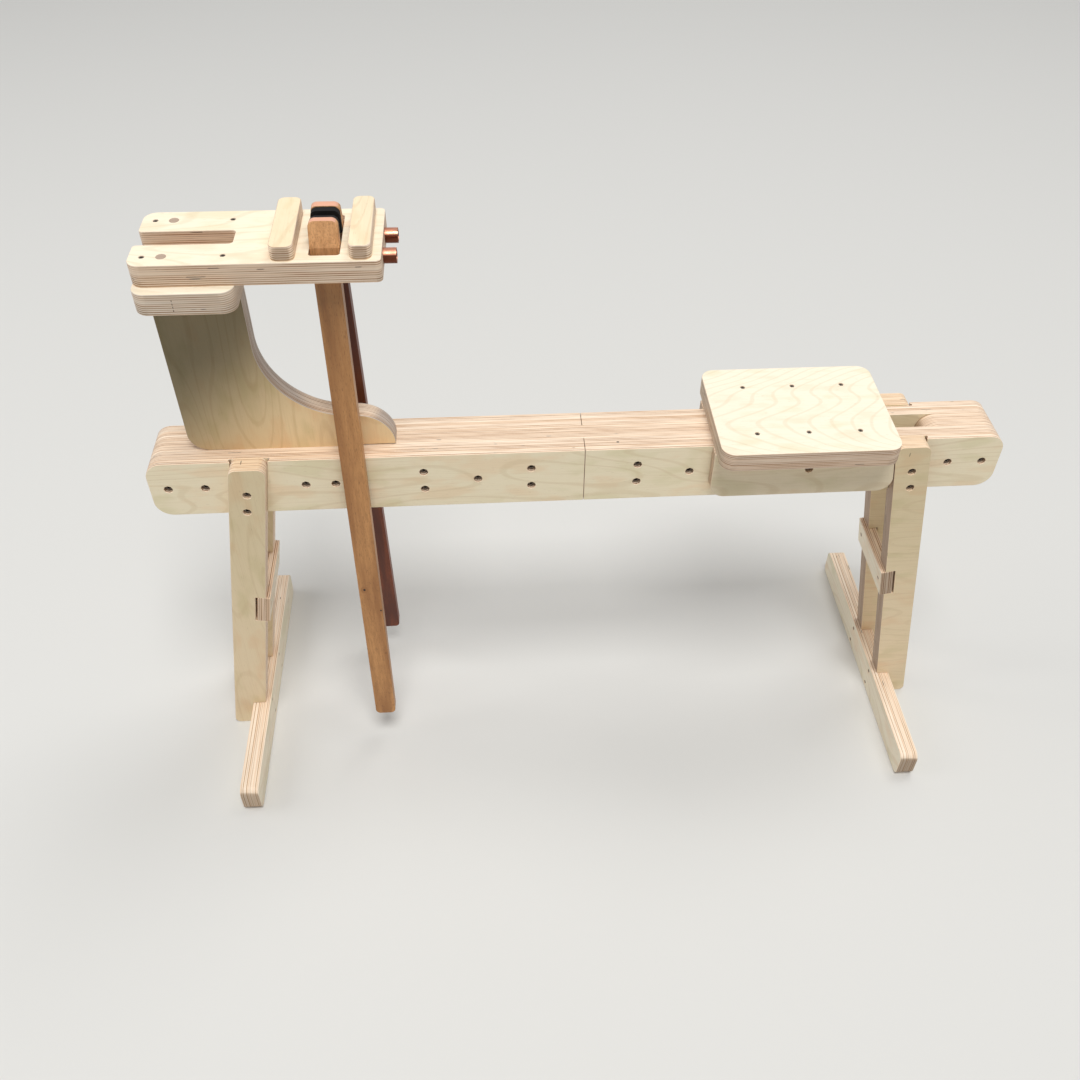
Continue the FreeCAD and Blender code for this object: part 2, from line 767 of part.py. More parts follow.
def build():
    """Every node of the part, by name."""
    beam_bolts, beam_nuts, beam_holes = beam_bolt_set()
    leg_bolts, leg_inserts, leg_holes = leg_fasteners()
    head_screws, deep_screws, plugs, head_holes = head_fasteners()
    seat_screws, lock_bolt, seat_holes = seat_fasteners()
    corners = [(end, side) for end in (-1, 1) for side in (-1, 1)]

    def at_corners(shapes):
        return [mirrored(shape, end, side) for end, side in corners for shape in shapes]

    nodes = {}
    nodes.update(beam_sides(beam_holes + at_corners(leg_holes)))
    nodes.update(beam_core(beam_holes))
    nodes["beam_bolts"] = beam_bolts
    nodes["beam_nuts"] = beam_nuts
    nodes["post"] = post(beam_holes)
    nodes["head_rest_plate"] = head_rest_plate(head_holes)
    nodes["head_plate"] = head_plate(head_holes)
    nodes["head_screws"] = head_screws
    nodes["head_deep_screws"] = deep_screws
    nodes["head_plugs"] = plugs
    nodes["work_stop_front"] = work_stop(front_stop_front, front_stop_width)
    nodes["work_stop_rear"] = work_stop(rear_stop_front, rear_stop_width)
    for side, side_name in ((-1, "near"), (1, "far")):
        nodes["pivot_tube_" + side_name] = pivot_tube(side)
        nodes["lever_" + side_name] = lever(side)
        nodes["jaw_pad_" + side_name] = jaw_pad(side)
        nodes["seat_cheek_" + side_name] = seat_cheek(side, seat_holes)
    nodes["seat_board"] = seat_board(seat_holes)
    nodes["seat_screws"] = seat_screws
    nodes["seat_lock_bolt"] = lock_bolt
    blank_leg = leg(leg_holes)
    for end, end_name in ((-1, "front"), (1, "rear")):
        for side, side_name in ((-1, "near"), (1, "far")):
            nodes["leg_%s_%s" % (end_name, side_name)] = mirrored(blank_leg, end, side)
        nodes["foot_" + end_name] = mirrored(foot(), end, 1)
        nodes["stretcher_" + end_name] = mirrored(stretcher(), end, 1)
    nodes["leg_bolts"] = at_corners(leg_bolts)
    nodes["leg_inserts"] = at_corners(leg_inserts)
    nodes["foot_screws"] = at_corners(foot_screws())
    nodes["stretcher_screws"] = at_corners([stretcher_screw()])
    return nodes


def main():
    os.makedirs("parts", exist_ok=True)
    for name, shape in build().items():
        if isinstance(shape, list):
            shape = Part.makeCompound(shape)
        shape.exportStep("parts/%s.step" % name)
        print("%-24s solids %2d  valid %s" % (name, len(shape.Solids), shape.isValid()))


main()
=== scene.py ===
import math

import bmesh
import bpy
import numpy as np
from mathutils import Matrix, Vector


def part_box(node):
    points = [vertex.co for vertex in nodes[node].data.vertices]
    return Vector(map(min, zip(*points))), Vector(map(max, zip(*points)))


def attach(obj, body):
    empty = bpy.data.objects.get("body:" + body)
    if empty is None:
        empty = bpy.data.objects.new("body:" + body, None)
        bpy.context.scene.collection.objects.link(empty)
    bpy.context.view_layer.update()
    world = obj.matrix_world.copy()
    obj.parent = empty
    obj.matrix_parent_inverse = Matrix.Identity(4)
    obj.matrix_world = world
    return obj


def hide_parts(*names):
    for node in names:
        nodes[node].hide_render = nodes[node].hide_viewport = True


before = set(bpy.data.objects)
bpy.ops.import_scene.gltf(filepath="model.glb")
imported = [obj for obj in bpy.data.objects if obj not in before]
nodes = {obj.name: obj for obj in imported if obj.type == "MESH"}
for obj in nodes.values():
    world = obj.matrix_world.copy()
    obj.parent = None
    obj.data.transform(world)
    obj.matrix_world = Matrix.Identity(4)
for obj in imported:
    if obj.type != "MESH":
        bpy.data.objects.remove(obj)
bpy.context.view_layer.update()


# Beam -----------------------------------------------------------------------
# Three thicknesses of birch plywood, bolted together on edge: two outer layers, each in two lengths
# that butt in the middle, and a core of three blocks. Seen from above it is all edge, so it is striped
# with plies; its sides are sanded and oiled face veneer.

X, Y, Z = (1.0, 0.0, 0.0), (0.0, 1.0, 0.0), (0.0, 0.0, 1.0)
PLY = 1.381e-3                 # one veneer: 21 of them make the 29 mm board
PLY_LONG = "#FBEAD4"           # plies cut along the grain, pale
PLY_WARM = "#F7DABB"           # the same, where the sheet was pinker
PLY_CROSS = "#AE8460"          # plies that show their end grain, which soaks up more oil
PLY_STREAK = "#C9A380"
PLY_GAP = "#553B28"
GLUE_LINE = "#7E5B43"
CRACK = "#30231A"
VENEER = "#F4E9D2"
VENEER_COOL = "#E6DDBE"        # greenish and pinkish patches of the peeled face
VENEER_WARM = "#F1DCC0"
VENEER_FIGURE = "#CDB48C"      # late wood in its figure
VENEER_FLECK = "#A98B66"
# Noise scales are one over a length in metres. A pair is for the length along the grain, or the board,
# and for the width across it.
PLY_PATCHES = 9.0              # soaked patches of a ply, 110 mm long
PLY_GAPS = 45.0                # gaps in a cross ply, 22 mm long
PLY_STREAKS = (16.0, 1700.0)   # dark streaks in the plies, 62 by 0.6 mm
VENEER_WAVES = (1.8, 10.0)     # broad waves that bend the late wood, 560 by 100 mm
WOOD_FIBRES = (14.0, 750.0)    # 71 by 1.3 mm: coarser than real ones, so that they show
VENEER_FLECKS = (110.0, 900.0)  # 9 by 1.1 mm
VENEER_CLOUDS = (12.0, 30.0)   # patches of another tone, 83 by 33 mm
WAVE_STRENGTH = 110.0          # radians of the late wood's sine over the waves' whole range
ARCH_PITCH = 0.031             # metres from one arch round a heart to the next
ARCH_BEND = 15.6               # an arch falls back by this times the square of the distance aside
PLY_SPREAD = 2.7               # how far the noise moves from one ply to the next


def linear(colour):
    """sRGB hex turned to linear RGBA, each channel by the sRGB curve."""
    channels = np.array([int(colour[start:start + 2], 16) for start in (1, 3, 5)]) / 255
    curved = np.where(channels <= 0.04045, channels / 12.92, ((channels + 0.055) / 1.055) ** 2.4)
    return (*curved, 1.0)


def add(tree, kind, inputs=None, **settings):
    """Adds a node: settings are its properties, and inputs its sockets' links or values."""
    made = tree.nodes.new("ShaderNode" + kind)
    for name, value in settings.items():
        setattr(made, name, value)
    for socket, value in (inputs or {}).items():
        if isinstance(value, bpy.types.NodeSocket):
            tree.links.new(value, made.inputs[socket])
        else:
            made.inputs[socket].default_value = value
    return made


def new_material(name):
    """A material with its tree, its shader and its Object coordinates."""
    material = bpy.data.materials.new(name)
    material.use_nodes = True
    tree = material.node_tree
    return material, tree, tree.nodes["Principled BSDF"], add(tree, "TexCoord").outputs["Object"]


def calculate(tree, operation, first, second=0.0, clamp=False):
    """Result of one sum on numbers."""
    return add(tree, "Math", {0: first, 1: second}, operation=operation, use_clamp=clamp).outputs[0]


def blend_colours(tree, share, first, second, mode="MIX"):
    """Colour that goes from the first to the second as share goes from 0 to 1."""
    colours = [linear(c) if isinstance(c, str) else c for c in (first, second)]
    mixed = add(tree, "Mix", {0: share, 6: colours[0], 7: colours[1]}, data_type="RGBA", blend_type=mode)
    return mixed.outputs[2]


def between(tree, value, low, high, low_result=0.0, high_result=1.0):
    """Smooth step of a number between two limits."""
    limits = {"Value": value, "From Min": low, "From Max": high}
    limits |= {"To Min": low_result, "To Max": high_result}
    return add(tree, "MapRange", limits, interpolation_type="SMOOTHSTEP").outputs[0]


def share_along(tree, vector, way):
    """Length of a vector's part along a direction."""
    return add(tree, "VectorMath", {0: vector, 1: way}, operation="DOT_PRODUCT").outputs["Value"]


def stretched_noise(tree, place, scales, detail=2.0, shift=0.0):
    """Noise whose features, in metres, are one over the scales along X, Y and Z."""
    spread = add(tree, "Mapping", {"Vector": place, "Location": (shift, shift, shift), "Scale": scales})
    settings = {"Vector": spread.outputs[0], "Scale": 1.0, "Detail": detail}
    return add(tree, "TexNoise", settings, noise_dimensions="3D").outputs[0]


def grain_scales(along, lengthwise, crosswise):
    """Noise scales of a grain that runs along one axis."""
    return tuple(lengthwise if share else crosswise for share in along)


def spot(tree, place, centre, size):
    """1 in the middle of an ellipsoid, and 0 outside: it fades between 0.7 and 1.1 of the way to its rim.

    Its centre and half sizes are in millimetres.
    """
    centre = tuple(value / 1000 for value in centre)
    size = tuple(value / 1000 for value in size)
    away = add(tree, "VectorMath", {0: place, 1: centre}, operation="SUBTRACT").outputs[0]
    away = add(tree, "VectorMath", {0: away, 1: size}, operation="DIVIDE").outputs[0]
    away = add(tree, "VectorMath", {0: away}, operation="LENGTH").outputs["Value"]
    return between(tree, away, 0.7, 1.1, 1.0, 0.0)


def ply_colours(tree, place, across, face_at, shift, cross):
    """Colour of a sawn edge, with a stripe for each ply.

    The distance across, in plies, gives each ply its number, and odd ones are cross plies. Noise of that
    number makes each ply pale or dark, up to the colour cross, and fades it along the board. Fine streaks
    run through it, a dark line of glue lies between two plies, and the cross plies have a few gaps.
    """
    depth = share_along(tree, place, across)
    level = calculate(tree, "DIVIDE", calculate(tree, "SUBTRACT", depth, face_at), PLY)
    number = calculate(tree, "FLOOR", level)
    crosswise = calculate(tree, "MODULO", calculate(tree, "ABSOLUTE", number), 2.0)
    own = calculate(tree, "ADD", calculate(tree, "MULTIPLY", number, PLY_SPREAD), shift)
    chance = add(tree, "TexWhiteNoise", {"W": own}, noise_dimensions="1D").outputs["Value"]

    settings = {"Vector": place, "W": own, "Scale": PLY_PATCHES, "Detail": 3.0}
    patches = add(tree, "TexNoise", settings, noise_dimensions="4D").outputs[0]
    soaked = calculate(tree, "MULTIPLY", chance, 0.75)
    soaked = calculate(tree, "ADD", soaked, between(tree, patches, 0.3, 0.7, -0.25, 0.65))
    soaked = calculate(tree, "MULTIPLY", crosswise, soaked, clamp=True)

    lengthwise, upright = PLY_STREAKS
    layers = calculate(tree, "MULTIPLY", depth, upright)
    layered = add(tree, "VectorMath", {0: across, "Scale": layers}, operation="SCALE")
    spread = {0: place, 1: (lengthwise, lengthwise, lengthwise), 2: layered.outputs[0]}
    spread = add(tree, "VectorMath", spread, operation="MULTIPLY_ADD").outputs[0]
    streaks = add(tree, "TexNoise", {"Vector": spread, "Scale": 1.0, "Detail": 2.0}).outputs[0]

    glue = between(tree, calculate(tree, "PINGPONG", level, 0.5), 0.03, 0.14, 0.5, 0.0)
    glue = calculate(tree, "MULTIPLY", glue, patches)
    settings = {"Vector": place, "W": own, "Scale": PLY_GAPS, "Detail": 1.0}
    gaps = add(tree, "TexNoise", settings, noise_dimensions="4D").outputs[0]
    gaps = calculate(tree, "MULTIPLY", crosswise, between(tree, gaps, 0.70, 0.75, 0.0, 0.75))

    plies = blend_colours(tree, chance, PLY_LONG, PLY_WARM)
    plies = blend_colours(tree, soaked, plies, cross)
    plies = blend_colours(tree, between(tree, streaks, 0.52, 0.75, 0.0, 0.30), plies, PLY_STREAK)
    plies = blend_colours(tree, glue, plies, GLUE_LINE)
    return blend_colours(tree, gaps, plies, PLY_GAP)


def veneer_colours(tree, place, along, shift, fibres, figure, heart):
    """Colour of a face, which is one peeled veneer.

    Thin lines of late wood lie where a sine of stretched noise is highest, and figure is their strength.
    heart gives a point in X and Y, round which they lie in nested arches: the sine is then also one of
    2 pi / pitch * (x - bend * y^2). Clouds make the face pinker here and greener there.
    """
    waves = stretched_noise(tree, place, grain_scales(along, *VENEER_WAVES), 1.0, shift)
    field = calculate(tree, "MULTIPLY", waves, WAVE_STRENGTH)
    if heart:
        parts = add(tree, "SeparateXYZ", {0: place})
        lengthwise = calculate(tree, "SUBTRACT", parts.outputs["X"], heart[0])
        aside = calculate(tree, "POWER", calculate(tree, "SUBTRACT", parts.outputs["Y"], heart[1]), 2.0)
        arches = calculate(tree, "SUBTRACT", lengthwise, calculate(tree, "MULTIPLY", aside, ARCH_BEND))
        arches = calculate(tree, "MULTIPLY", arches, 2 * math.pi / ARCH_PITCH)
        field = calculate(tree, "ADD", arches, calculate(tree, "MULTIPLY", field, 0.5))
    late_wood = calculate(tree, "SINE", field)
    flecks = stretched_noise(tree, place, grain_scales(along, *VENEER_FLECKS), 1.0, shift + 4.0)
    clouds = stretched_noise(tree, place, grain_scales(along, *VENEER_CLOUDS), 3.0, shift + 9.0)
    veneer = blend_colours(tree, between(tree, clouds, 0.52, 0.68, 0.0, 0.75), VENEER, VENEER_WARM)
    veneer = blend_colours(tree, between(tree, clouds, 0.32, 0.48, 0.75, 0.0), veneer, VENEER_COOL)
    veneer = blend_colours(tree, between(tree, late_wood, 0.70, 1.0, 0.0, figure), veneer, VENEER_FIGURE)
    veneer = blend_colours(tree, between(tree, fibres, 0.48, 0.75, 0.0, 0.16), veneer, VENEER_FIGURE)
    return blend_colours(tree, between(tree, flecks, 0.68, 0.76, 0.0, 0.25), veneer, VENEER_FLECK)


def birch_plywood(name, across, face_at, along, shift, tone="#FFFFFF", turning=None, edge_tone="#FFFFFF",
                  end_tone="#D2CCC6", cross=PLY_CROSS, figure=0.22, heart=None, cracks=()):
    """Birch plywood, sanded and oiled. It is not glossy, and its pores hardly show.

    across is the direction of the board's thickness, face_at one face's distance along it, and along the
    axis that the face grain runs on. Where the surface faces across, it is veneer, and elsewhere plies.
    The veneer is multiplied by a tone, which turning takes to another one along a direction between two
    distances: the post and the legs use it for painted shade. The plies are multiplied by edge_tone, or
    by end_tone where the surface faces along the grain. shift moves all its noise, so that no two boards
    are alike.
    cracks are dark ellipsoids.
    """
    material, tree, shader, place = new_material(name)
    normal = tree.nodes["Texture Coordinate"].outputs["Normal"]
    facing = calculate(tree, "ABSOLUTE", share_along(tree, normal, across))
    endwise = calculate(tree, "ABSOLUTE", share_along(tree, normal, along))

    plies = ply_colours(tree, place, across, face_at, shift, cross)
    ply_tone = blend_colours(tree, between(tree, endwise, 0.75, 0.95), edge_tone, end_tone)
    plies = blend_colours(tree, 1.0, plies, ply_tone, "MULTIPLY")

    fibres = stretched_noise(tree, place, grain_scales(along, *WOOD_FIBRES), 3.0, shift)
    veneer = veneer_colours(tree, place, along, shift, fibres, figure, heart)
    if turning:
        other_tone, way, start, end = turning
        turned = between(tree, share_along(tree, place, way), start, end)
        tone = blend_colours(tree, turned, tone, other_tone)
    veneer = blend_colours(tree, 1.0, veneer, tone, "MULTIPLY")

    wood = blend_colours(tree, between(tree, facing, 0.80, 0.95), plies, veneer)
    for centre, size in cracks:
        wood = blend_colours(tree, spot(tree, place, centre, size), wood, CRACK)
    tree.links.new(wood, shader.inputs["Base Color"])
    shader.inputs["Roughness"].default_value = 0.55
    shader.inputs["IOR"].default_value = 1.45
    relief = add(tree, "Bump", {"Height": fibres, "Strength": 0.10, "Distance": 0.0003})
    tree.links.new(relief.outputs[0], shader.inputs["Normal"])
    return material


dressed = dict(nodes)          # the object that shows each piece: its own, or the one that replaces it


def ease_edges(*names, width=0.75e-3):
    """Rounds the arrises of pieces, as a sanding block does.

    Coincident corners are welded and flat faces merged first, so that each arris is one clean strip.
    """
    for name in names:
        weld = dressed[name].modifiers.new("weld", "WELD")
        weld.merge_threshold = 1e-5
        flatten = dressed[name].modifiers.new("flat_faces", "DECIMATE")
        flatten.decimate_type = "DISSOLVE"
        flatten.angle_limit = math.radians(1.0)
        bevel = dressed[name].modifiers.new("eased_edges", "BEVEL")
        bevel.width = width
        bevel.segments = 2
        bevel.limit_method = "ANGLE"
        bevel.angle_limit = math.radians(35)
        bevel.use_clamp_overlap = False
        bevel.loop_slide = False
        bevel.harden_normals = True


def finish_with(material, *names):
    """Gives pieces their material."""
    for name in names:
        dressed[name].data.materials.clear()
        dressed[name].data.materials.append(material)


ENDS = ("front", "rear")
SIDES = ("near", "far")
beam_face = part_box("beam_side_front_near")[0].y
beam_boards = [f"beam_side_{end}_{side}" for end in ENDS for side in SIDES]
beam_boards += ["beam_core_front", "beam_core_middle", "beam_core_rear"]
knot = ((48.0, -26.8, 568.0), (2.2, 1.6, 2.0))
beam_plywood = birch_plywood("birch_plywood_of_the_beam", Y, beam_face, X, 0.0, "#FFFCF2", cracks=[knot])
finish_with(beam_plywood, *beam_boards)
ease_edges(*beam_boards)


# Bolts and nuts -------------------------------------------------------------
# Socket-head bolts of zinc-plated steel, sunk in drilled recesses, with plain hex nuts in the recesses
# on the far side. The plating has dulled to a brownish grey, and is half glossy.

SPOKES = 48                    # points round each ring of a turned piece
OBLIQUE = (0.36, 0.48, 0.80)   # a direction that no fastener points in
TURN_STEP = 1.3                # radians from one fastener's socket to the next one's


def dull_zinc():
    """Zinc-plated steel gone dull: brownish grey metal with a fine mottle."""
    material, tree, shader, place = new_material("dull_zinc_plated_steel")
    mottle = stretched_noise(tree, place, (900.0, 900.0, 900.0))
    tree.links.new(blend_colours(tree, mottle, "#5A5048", "#8E8479"), shader.inputs["Base Color"])
    tree.links.new(between(tree, mottle, 0.3, 0.7, 0.34, 0.48), shader.inputs["Roughness"])
    shader.inputs["Metallic"].default_value = 1.0
    return material


def ring(radius, form="round"):
    """Radii in metres of a ring of points, from a radius in millimetres.

    At an angle a, a hexagon's is radius / cos of a's distance from the middle of a flat. A cross's is the
    lesser of radius / cos d and arm * radius / sin d, where d is a's distance from an arm's middle and
    arm is half an arm's width over the radius.
    """
    arm = 0.268
    angle = np.arange(SPOKES) * 2 * np.pi / SPOKES
    if form == "hexagon":
        off_flat = (angle + np.pi / 6) % (np.pi / 3) - np.pi / 6
        return radius / 1000 / np.cos(off_flat)
    if form == "cross":
        off_arm = np.abs((angle + np.pi / 4) % (np.pi / 2) - np.pi / 4)
        side = arm / np.maximum(np.sin(off_arm), 1e-6)
        return radius / 1000 * np.minimum(1 / np.cos(off_arm), side)
    return np.full(SPOKES, radius / 1000)


def solids_of(name):
    """Corners of each separate solid of a CAD piece, once its coincident corners are merged.

    Each corner starts with its own number. The lowest number in a triangle goes to all its corners,
    again and again, until every solid has one number.
    """
    copy = bmesh.new()
    copy.from_mesh(nodes[name].data)
    bmesh.ops.remove_doubles(copy, verts=copy.verts, dist=1e-5)
    copy.verts.index_update()
    corners = np.array([corner.co for corner in copy.verts])
    triangles = np.array([[corner.index for corner in face.verts] for face in copy.faces])
    copy.free()
    number = np.arange(len(corners))
    changed = True
    while changed:
        spread = number.copy()
        np.minimum.at(spread, triangles, number[triangles].min(axis=1)[:, None])
        changed = bool((spread != number).any())
        number = spread
    return [corners[number == one] for one in np.unique(number)]


def turned_fasteners(name, body, material, rings):
    """Bolts or screws in place of a CAD piece, one for each of its solids.

    A solid's axis is the longest direction of its corners' spread, and its head is at the end where they
    lie widest. A point is head + depth * axis + radius(a) * (cos(a) * first + sin(a) * second), where
    first and second stand square to the axis. Each ring has its radii, the share of the fastener's length
    at which it lies, and how far beyond that in millimetres. Each fastener is turned further than the one
    before, because they come to rest at random.
    """
    radii = np.array([radius for radius, share, beyond in rings])
    shares = np.array([share for radius, share, beyond in rings])
    beyonds = np.array([beyond / 1000 for radius, share, beyond in rings])
    angle = np.arange(SPOKES) * 2 * np.pi / SPOKES
    ring_number, spoke = np.meshgrid(np.arange(len(rings) - 1), np.arange(SPOKES), indexing="ij")
    this, following = ring_number * SPOKES, ring_number * SPOKES + SPOKES
    after = (spoke + 1) % SPOKES
    quads = np.stack([this + spoke, this + after, following + after, following + spoke], axis=-1)
    quads = quads.reshape(-1, 4)
    points = []
    faces = []
    for turn, corners in enumerate(solids_of(name)):
        middle = corners.mean(axis=0)
        axis = np.linalg.eigh(np.cov((corners - middle).T))[1][:, 2]
        along = (corners - middle) @ axis
        away = np.linalg.norm(corners - middle - along[:, None] * axis, axis=1)
        if along[away > 0.9 * away.max()].mean() > 0:
            axis, along = -axis, -along
        head = middle + along.min() * axis
        length = along.max() - along.min()
        first = np.cross(axis, OBLIQUE)
        first /= np.linalg.norm(first)
        second = np.cross(axis, first)
        round_it = angle[:, None] + TURN_STEP * turn
        around = np.cos(round_it) * first + np.sin(round_it) * second
        depths = shares * length + beyonds
        placed = head + depths[:, None, None] * axis + radii[:, :, None] * around
        start = len(points) * len(rings) * SPOKES
        points.append(placed.reshape(-1, 3))
        faces += (quads + start).tolist()
        faces.append((np.arange(SPOKES)[::-1] + start).tolist())
        faces.append((np.arange(SPOKES) + (len(rings) - 1) * SPOKES + start).tolist())
    mesh = bpy.data.meshes.new(name + "_turned")
    mesh.from_pydata(np.concatenate(points).tolist(), [], faces)
    mesh.shade_smooth()
    mesh.set_sharp_from_angle(angle=math.radians(35))
    mesh.materials.append(material)
    made = bpy.data.objects.new(name + "_turned", mesh)
    bpy.context.scene.collection.objects.link(made)
    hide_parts(name)
    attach(made, body)


# A bolt from the floor of its socket, over its head and down its shank to its end.
SOCKET_BOLT = [
    (ring(2.5, "hexagon"), 0, 3.2),
    (ring(2.5, "hexagon"), 0, 0.4),
    (ring(3.1), 0, 0.0),
    (ring(4.5), 0, 0.0),
    (ring(5.1), 0, 0.6),
    (ring(5.1), 0, 6.0),
    (ring(3.0), 0, 6.0),
    (ring(3.0), 1, -0.6),
    (ring(2.4), 1, 0.0),
]
steel = dull_zinc()
turned_fasteners("beam_bolts", "root", steel, SOCKET_BOLT)
finish_with(steel, "beam_nuts")
ease_edges("beam_nuts", width=0.5e-3)


# Legs, feet and stretchers --------------------------------------------------
# Eight plywood boards: four splayed legs housed in the beam's sides, a cross foot notched under each
# pair, and a stretcher let into each pair from the inside. Screws and sunk bolts hold them.

OUTWARD = {"front": -1.0, "rear": 1.0}  # which way along X each end lies
# Corners of a rear leg's outline and of a foot's, in millimetres: where the straight edges would meet,
# the radius of the solid's arc, the radius that it gets, and how far from there the arc touches them.
leg_corners = [
    ((444.23, 569.8), 8.0, 11.5, 9.45),
    ((495.73, 569.8), 8.0, 11.5, 6.77),
    ((591.09, 0.0), 5.0, 9.0, 5.91),
]
foot_corners = [
    ((-240.5, 0.0), 8.0, 12.0, 8.0),
    ((-240.5, 50.5), 6.0, 12.0, 6.0),
    ((240.5, 0.0), 8.0, 12.0, 8.0),
    ((240.5, 50.5), 6.0, 12.0, 6.0),
]


def round_corners(name, first, second, corners):
    """A copy of a piece whose outline has rounder corners, which takes the piece's place.

    The outline lies in the plane of the first and the second axis. A point of a corner's arc moves away
    from where the straight edges would meet by new radius / old radius, which makes a larger arc that
    touches the same edges.
    """
    slack = 0.15               # millimetres past the arc's furthest point, still short of the next one
    mesh = nodes[name].data.copy()
    points = np.empty(len(mesh.vertices) * 3, dtype=np.float32)
    mesh.vertices.foreach_get("co", points)
    points = points.reshape(-1, 3).astype(float)
    flat = points[:, [first, second]]
    moved = flat.copy()
    for place, radius, new_radius, touching in corners:
        meeting = np.array(place) / 1000
        from_meeting = flat - meeting
        in_arc = np.hypot(*from_meeting.T) < (touching + slack) / 1000
        moved[in_arc] = meeting + from_meeting[in_arc] * new_radius / radius
    points[:, [first, second]] = moved
    mesh.vertices.foreach_set("co", points.astype(np.float32).ravel())
    mesh.update()
    made = bpy.data.objects.new(name + "_rounded", mesh)
    bpy.context.scene.collection.objects.link(made)
    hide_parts(name)
    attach(made, "root")
    dressed[name] = made


# The front legs' face grain runs up them, and the rear legs' across. Each has the grain, then the tones
# of the plies that face across it and along it. The rear legs' plies that face along it, towards ±X, are
# dark: painted shade.
leg_cuts = {"front": (Z, "#FFFFFF", "#FFFBF2"), "rear": (X, "#FFFBF2", "#BDB5B1")}
# Painted shade of the beam above: the legs' veneer grows darker from 0.10 m up to 0.50 m high.
leg_painted_shade = ("#E8DFCB", Z, 0.10, 0.50)
leg_checks = [((466.7, -64.5, 557.0), (0.5, 2.0, 4.0)), ((-479.8, -46.0, 569.8), (0.6, 5.0, 1.0))]
leg_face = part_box("leg_rear_far")[0].y
# The rear foot's ends are darker than the front one's: painted shade.
foot_ends = {"front": "#CFCAC4", "rear": "#BAB4AE"}
for end in ENDS:
    for side in SIDES:
        corners = [((OUTWARD[end] * x, z), *radii) for (x, z), *radii in leg_corners]
        round_corners(f"leg_{end}_{side}", 0, 2, corners)
    grain, edge_tone, end_tone = leg_cuts[end]
    leg_plywood = birch_plywood(
        f"birch_plywood_of_the_{end}_legs", Y, leg_face, grain, 3.0, "#F8ECDB", leg_painted_shade,
        edge_tone, end_tone, "#C9A582", figure=0.15, cracks=leg_checks,
    )
    finish_with(leg_plywood, f"leg_{end}_near", f"leg_{end}_far")
    ease_edges(f"leg_{end}_near", f"leg_{end}_far")

    round_corners("foot_" + end, 1, 2, foot_corners)
    foot_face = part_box("foot_" + end)[0].x
    foot_plywood = birch_plywood(
        f"birch_plywood_of_the_{end}_foot", X, foot_face, Y, 6.0, end_tone=foot_ends[end], cross="#C4A07C"
    )
    finish_with(foot_plywood, "foot_" + end)
    ease_edges("foot_" + end)

# The stretchers lie at the slope of the legs, so their plies do too.
LEG_SPLAY = math.radians(9.5)
# The front stretcher's ends are paler than plain end grain, painted light, and the rear one's darker,
# painted shade.
stretcher_ends = {"front": "#EAE4DE", "rear": "#BEB8B2"}
for end in ENDS:
    name = "stretcher_" + end
    across = (OUTWARD[end] * math.cos(LEG_SPLAY), 0.0, math.sin(LEG_SPLAY))
    low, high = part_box(name)
    inmost = min(OUTWARD[end] * low.x, OUTWARD[end] * high.x)
    face_at = inmost * math.cos(LEG_SPLAY) + high.z * math.sin(LEG_SPLAY)
    stretcher_plywood = birch_plywood(
        f"birch_plywood_of_the_{end}_stretcher", across, face_at, Y, 8.0, end_tone=stretcher_ends[end]
    )
    finish_with(stretcher_plywood, name)
    ease_edges(name)

# A screw from the bottom of its cross, over its countersunk head and down to its point.
CROSS_SCREW = [
    (ring(1.5, "cross"), 0, 1.6),
    (ring(1.9, "cross"), 0, 0.0),
    (ring(2.9), 0, 0.0),
    (ring(3.1), 0, 0.2),
    (ring(3.1), 0, 0.5),
    (ring(1.95), 0, 3.0),
    (ring(1.95), 1, -5.0),
    (ring(0.3), 1, 0.0),
]
turned_fasteners("leg_bolts", "root", steel, SOCKET_BOLT)
turned_fasteners("foot_screws", "root", steel, CROSS_SCREW)
turned_fasteners("stretcher_screws", "root", steel, CROSS_SCREW)
finish_with(steel, "leg_inserts")


# Post -----------------------------------------------------------------------
# One board on edge, with a hollow curve down to its toe. Its veneer is a warm tan lower down, and olive
# under the head: the olive is painted shade of the head.

post_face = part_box("post")[0].y
# Painted shade of the head: the veneer's tone turns olive upwards and towards -X.
head_painted_shade = ("#857D68", (-1.0, 0.0, 1.0), 0.98, 1.25)
post_plywood = birch_plywood(
    "birch_plywood_of_the_post", Y, post_face, Z, 12.0, "#FFEBCB", head_painted_shade, "#CBD0DA", "#FBFBFB"
)
finish_with(post_plywood, "post")
ease_edges("post")


# Head -----------------------------------------------------------------------
# A rest plate on the post, the head plate with its fork and jaw slot on it, and two raised stops for
# the work, all of birch plywood. Countersunk screws hold them, two of them deep down under wooden plugs.

crack = [((-504.4, -80.5, height), (0.5, 2.0, 1.6)) for height in (851.5, 847.0, 842.5, 838.0)]
void = [((-475.0, -64.8, 871.2), (8.0, 2.0, 0.7))]
